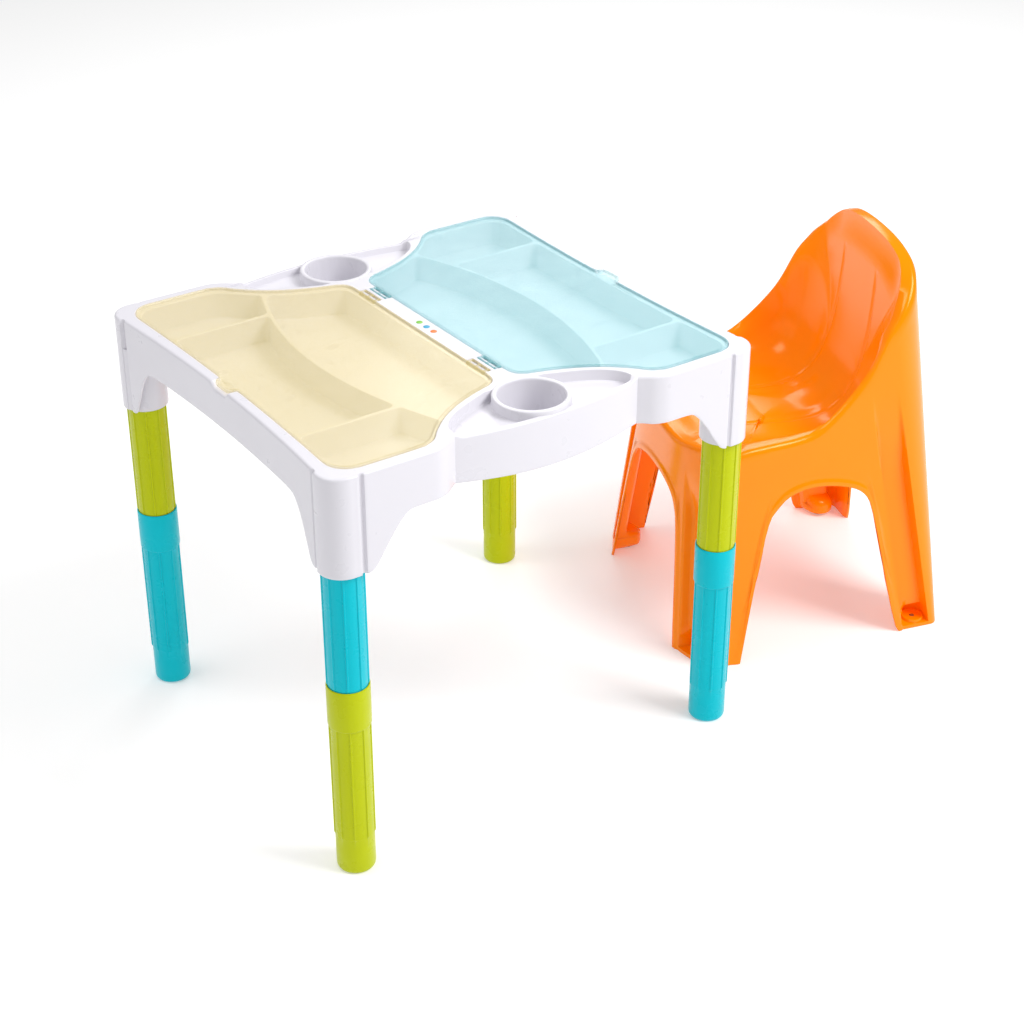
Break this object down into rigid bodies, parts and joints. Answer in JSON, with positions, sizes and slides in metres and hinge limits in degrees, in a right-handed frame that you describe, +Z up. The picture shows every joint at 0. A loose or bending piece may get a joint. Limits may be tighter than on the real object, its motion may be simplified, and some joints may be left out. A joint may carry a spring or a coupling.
{
  "type": "child's activity table with chair",
  "caption": "Child's plastic activity table with hinged storage lids, cup holders and push-together ribbed legs, with a one-piece moulded chair.",
  "frame": {"origin": "middle of the whole set's footprint, on the floor", "axes": "+X from the yellow lid across the turquoise lid towards the chair, +Y from the near cup holder to the far one, +Z up"},
  "size_m": [0.9449, 0.472, 0.4787],
  "materials": {
    "white_plastic": "smooth moulded white plastic with a faint lavender cast, satin sheen",
    "yellow_lid": "translucent pale yellow plastic, satin",
    "turquoise_lid": "translucent pale turquoise plastic, satin",
    "green_plastic": "lime green moulded plastic, satin",
    "turquoise_plastic": "turquoise moulded plastic, satin",
    "orange_plastic": "orange blow-moulded plastic, glossy with soft highlights",
    "foot_rubber": "matte orange-brown rubber",
    "badge_green": "plain printed dot",
    "badge_blue": "plain printed dot",
    "badge_orange": "plain printed dot"
  },
  "bodies": {
    "table": {"table_top": "white_plastic", "badge_dot_green": "badge_green", "badge_dot_blue": "badge_blue", "badge_dot_orange": "badge_orange", "leg_front_left_lower": "green_plastic", "leg_front_left_upper": "turquoise_plastic", "leg_front_right_lower": "turquoise_plastic", "leg_front_right_upper": "green_plastic", "leg_rear_left_lower": "turquoise_plastic", "leg_rear_left_upper": "green_plastic", "leg_rear_right_lower": "green_plastic", "leg_rear_right_upper": "turquoise_plastic"},
    "yellow_lid": {"lid_yellow": "yellow_lid"},
    "turquoise_lid": {"lid_turquoise": "turquoise_lid"},
    "chair": {"chair_shell": "orange_plastic", "chair_foot_pad_front_near": "foot_rubber", "chair_foot_pad_front_far": "foot_rubber", "chair_foot_pad_rear_near": "foot_rubber", "chair_foot_pad_rear_far": "foot_rubber"}
  },
  "joints": [
    {"name": "yellow_lid_hinge", "type": "hinge", "parent": "table", "child": "yellow_lid", "pos_m": [-0.21895, 0, 0.4674], "axis": [0, 1, 0], "range_deg": [0, 90]},
    {"name": "turquoise_lid_hinge", "type": "hinge", "parent": "table", "child": "turquoise_lid", "pos_m": [-0.20595, 0, 0.4674], "axis": [0, -1, 0], "range_deg": [0, 90]},
    {"name": "chair_slide", "type": "slide", "parent": "table", "child": "chair", "axis": [0.9505, -0.3107, 0], "range_m": [0, 0.3]}
  ]
}
